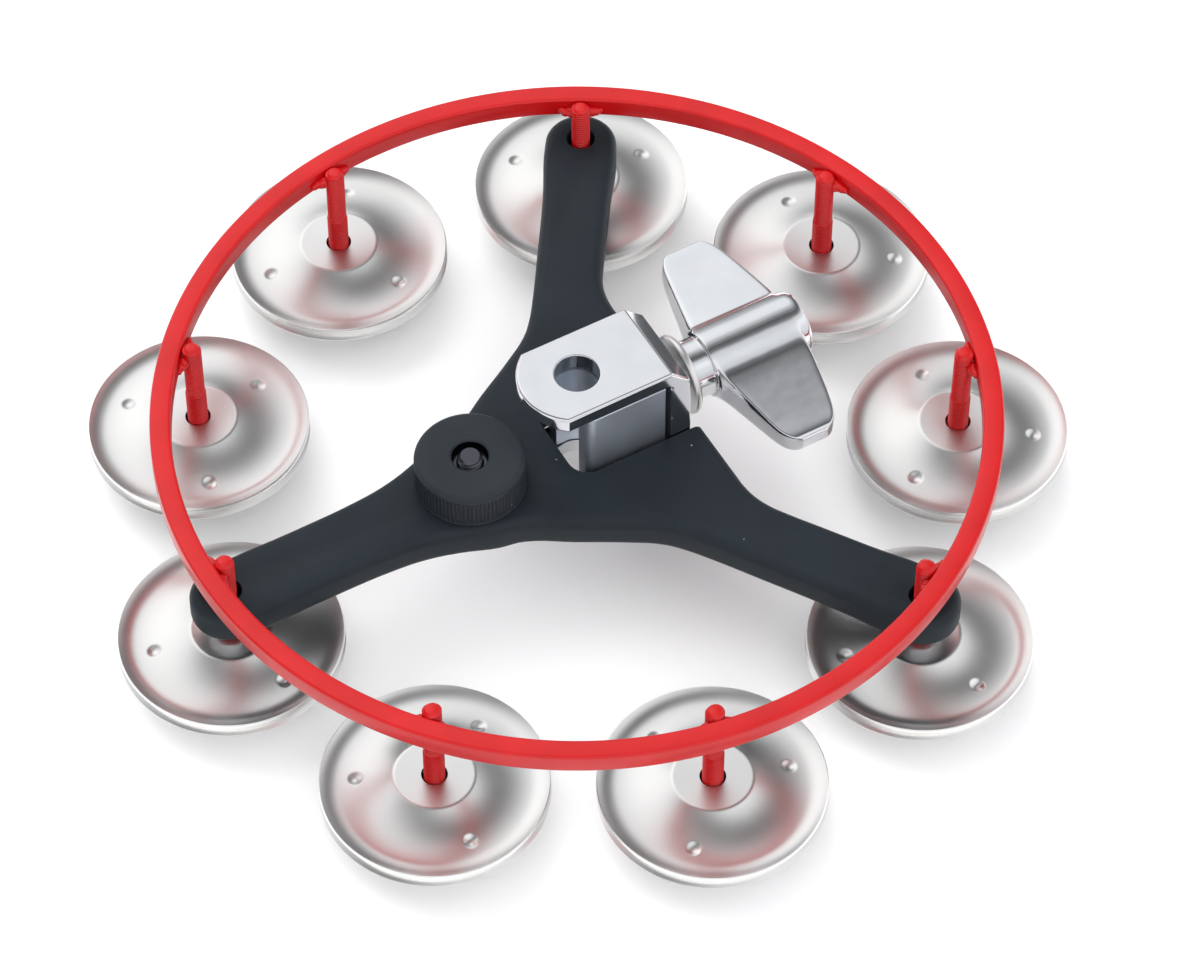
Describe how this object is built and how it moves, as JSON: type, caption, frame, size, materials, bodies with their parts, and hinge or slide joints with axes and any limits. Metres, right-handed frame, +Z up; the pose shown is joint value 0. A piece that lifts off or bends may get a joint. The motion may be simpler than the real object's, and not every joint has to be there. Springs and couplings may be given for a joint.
{
  "type": "jingle ring tambourine with rod clamp",
  "caption": "Painted steel hoop with pairs of jingles on studs, a three-armed plastic spider and a screw clamp that fixes it on an upright rod.",
  "frame": {"origin": "where the rod's axis crosses the clamp screw's axis, on the hoop's own axis", "axes": "+Z up along the rod, +Y towards arm 1; the clamp screw points out at 30 degrees from +X"},
  "size_m": [0.2352, 0.2324, 0.0532],
  "materials": {
    "red_paint": "semi-gloss red enamel",
    "steel_sheet": "satin spun stainless sheet",
    "charcoal_plastic": "fine textured charcoal moulding",
    "chrome": "polished chrome plate",
    "plated_steel": "bright zinc plate",
    "black_steel": "black zinc",
    "nylon": "natural nylon"
  },
  "bodies": {
    "frame": {"hoop": "red_paint", "studs": "red_paint", "stud_welds": "red_paint", "stud_washers": "plated_steel", "lock_nuts": "plated_steel", "lock_nut_rings": "nylon", "arm_washers": "plated_steel", "arm_nuts": "plated_steel", "spider": "charcoal_plastic", "clamp_housing": "chrome", "knob_stud": "black_steel"},
    "clamp_jaw": {"clamp_jaw": "chrome"},
    "clamp_washer": {"clamp_washer": "plated_steel"},
    "wing_bolt": {"wing_bolt": "chrome", "clamp_screw": "plated_steel"},
    "knob_washer": {"knob_washer": "plated_steel"},
    "knob": {"knob": "charcoal_plastic", "knob_insert": "plated_steel"},
    "jingle_1_lower": {"jingle_1_lower": "steel_sheet"},
    "jingle_1_upper": {"jingle_1_upper": "steel_sheet"},
    "jingle_2_lower": {"jingle_2_lower": "steel_sheet"},
    "jingle_2_upper": {"jingle_2_upper": "steel_sheet"},
    "jingle_3_lower": {"jingle_3_lower": "steel_sheet"},
    "jingle_3_upper": {"jingle_3_upper": "steel_sheet"},
    "jingle_4_lower": {"jingle_4_lower": "steel_sheet"},
    "jingle_4_upper": {"jingle_4_upper": "steel_sheet"},
    "jingle_5_lower": {"jingle_5_lower": "steel_sheet"},
    "jingle_5_upper": {"jingle_5_upper": "steel_sheet"},
    "jingle_6_lower": {"jingle_6_lower": "steel_sheet"},
    "jingle_6_upper": {"jingle_6_upper": "steel_sheet"},
    "jingle_7_lower": {"jingle_7_lower": "steel_sheet"},
    "jingle_7_upper": {"jingle_7_upper": "steel_sheet"},
    "jingle_8_lower": {"jingle_8_lower": "steel_sheet"},
    "jingle_8_upper": {"jingle_8_upper": "steel_sheet"},
    "jingle_9_lower": {"jingle_9_lower": "steel_sheet"},
    "jingle_9_upper": {"jingle_9_upper": "steel_sheet"}
  },
  "joints": [
    {"name": "wing_bolt_travel", "type": "slide", "parent": "frame", "child": "clamp_washer", "axis": [-0.866, -0.5, 0], "range_m": [0, 0.0026]},
    {"name": "wing_bolt_turn", "type": "hinge", "parent": "clamp_washer", "child": "wing_bolt", "pos_m": [0, 0, 0], "axis": [-0.866, -0.5, 0], "range_deg": [0, 750]},
    {"name": "jaw_travel", "type": "slide", "parent": "frame", "child": "clamp_jaw", "axis": [-0.866, -0.5, 0], "range_m": [0, 0.00261]},
    {"name": "knob_travel", "type": "slide", "parent": "frame", "child": "knob_washer", "axis": [0, 0, 1], "range_m": [0, 0.002]},
    {"name": "knob_turn", "type": "hinge", "parent": "knob_washer", "child": "knob", "pos_m": [-0.02477, -0.0143, 0], "axis": [0, 0, 1], "range_deg": [0, 720]},
    {"name": "pair_1_lift", "type": "slide", "parent": "frame", "child": "jingle_1_lower", "axis": [0, 0, 1], "range_m": [0, 0.0008]},
    {"name": "pair_1_open", "type": "slide", "parent": "jingle_1_lower", "child": "jingle_1_upper", "axis": [0, 0, 1], "range_m": [0, 0.0006]},
    {"name": "pair_2_lift", "type": "slide", "parent": "frame", "child": "jingle_2_lower", "axis": [0, 0, 1], "range_m": [0, 0.014]},
    {"name": "pair_2_open", "type": "slide", "parent": "jingle_2_lower", "child": "jingle_2_upper", "axis": [0, 0, 1], "range_m": [0, 0.005]},
    {"name": "pair_3_lift", "type": "slide", "parent": "frame", "child": "jingle_3_lower", "axis": [0, 0, 1], "range_m": [0, 0.014]},
    {"name": "pair_3_open", "type": "slide", "parent": "jingle_3_lower", "child": "jingle_3_upper", "axis": [0, 0, 1], "range_m": [0, 0.005]},
    {"name": "pair_4_lift", "type": "slide", "parent": "frame", "child": "jingle_4_lower", "axis": [0, 0, 1], "range_m": [0, 0.0008]},
    {"name": "pair_4_open", "type": "slide", "parent": "jingle_4_lower", "child": "jingle_4_upper", "axis": [0, 0, 1], "range_m": [0, 0.0006]},
    {"name": "pair_5_lift", "type": "slide", "parent": "frame", "child": "jingle_5_lower", "axis": [0, 0, 1], "range_m": [0, 0.014]},
    {"name": "pair_5_open", "type": "slide", "parent": "jingle_5_lower", "child": "jingle_5_upper", "axis": [0, 0, 1], "range_m": [0, 0.005]},
    {"name": "pair_6_lift", "type": "slide", "parent": "frame", "child": "jingle_6_lower", "axis": [0, 0, 1], "range_m": [0, 0.014]},
    {"name": "pair_6_open", "type": "slide", "parent": "jingle_6_lower", "child": "jingle_6_upper", "axis": [0, 0, 1], "range_m": [0, 0.005]},
    {"name": "pair_7_lift", "type": "slide", "parent": "frame", "child": "jingle_7_lower", "axis": [0, 0, 1], "range_m": [0, 0.0008]},
    {"name": "pair_7_open", "type": "slide", "parent": "jingle_7_lower", "child": "jingle_7_upper", "axis": [0, 0, 1], "range_m": [0, 0.0006]},
    {"name": "pair_8_lift", "type": "slide", "parent": "frame", "child": "jingle_8_lower", "axis": [0, 0, 1], "range_m": [0, 0.014]},
    {"name": "pair_8_open", "type": "slide", "parent": "jingle_8_lower", "child": "jingle_8_upper", "axis": [0, 0, 1], "range_m": [0, 0.005]},
    {"name": "pair_9_lift", "type": "slide", "parent": "frame", "child": "jingle_9_lower", "axis": [0, 0, 1], "range_m": [0, 0.014]},
    {"name": "pair_9_open", "type": "slide", "parent": "jingle_9_lower", "child": "jingle_9_upper", "axis": [0, 0, 1], "range_m": [0, 0.005]}
  ],
  "couplings": [
    {"joint": "wing_bolt_turn", "follows": "wing_bolt_travel", "rad_per_m": 5026.5},
    {"joint": "jaw_travel", "follows": "wing_bolt_travel", "ratio": 1},
    {"joint": "knob_turn", "follows": "knob_travel", "rad_per_m": 6283.2}
  ]
}
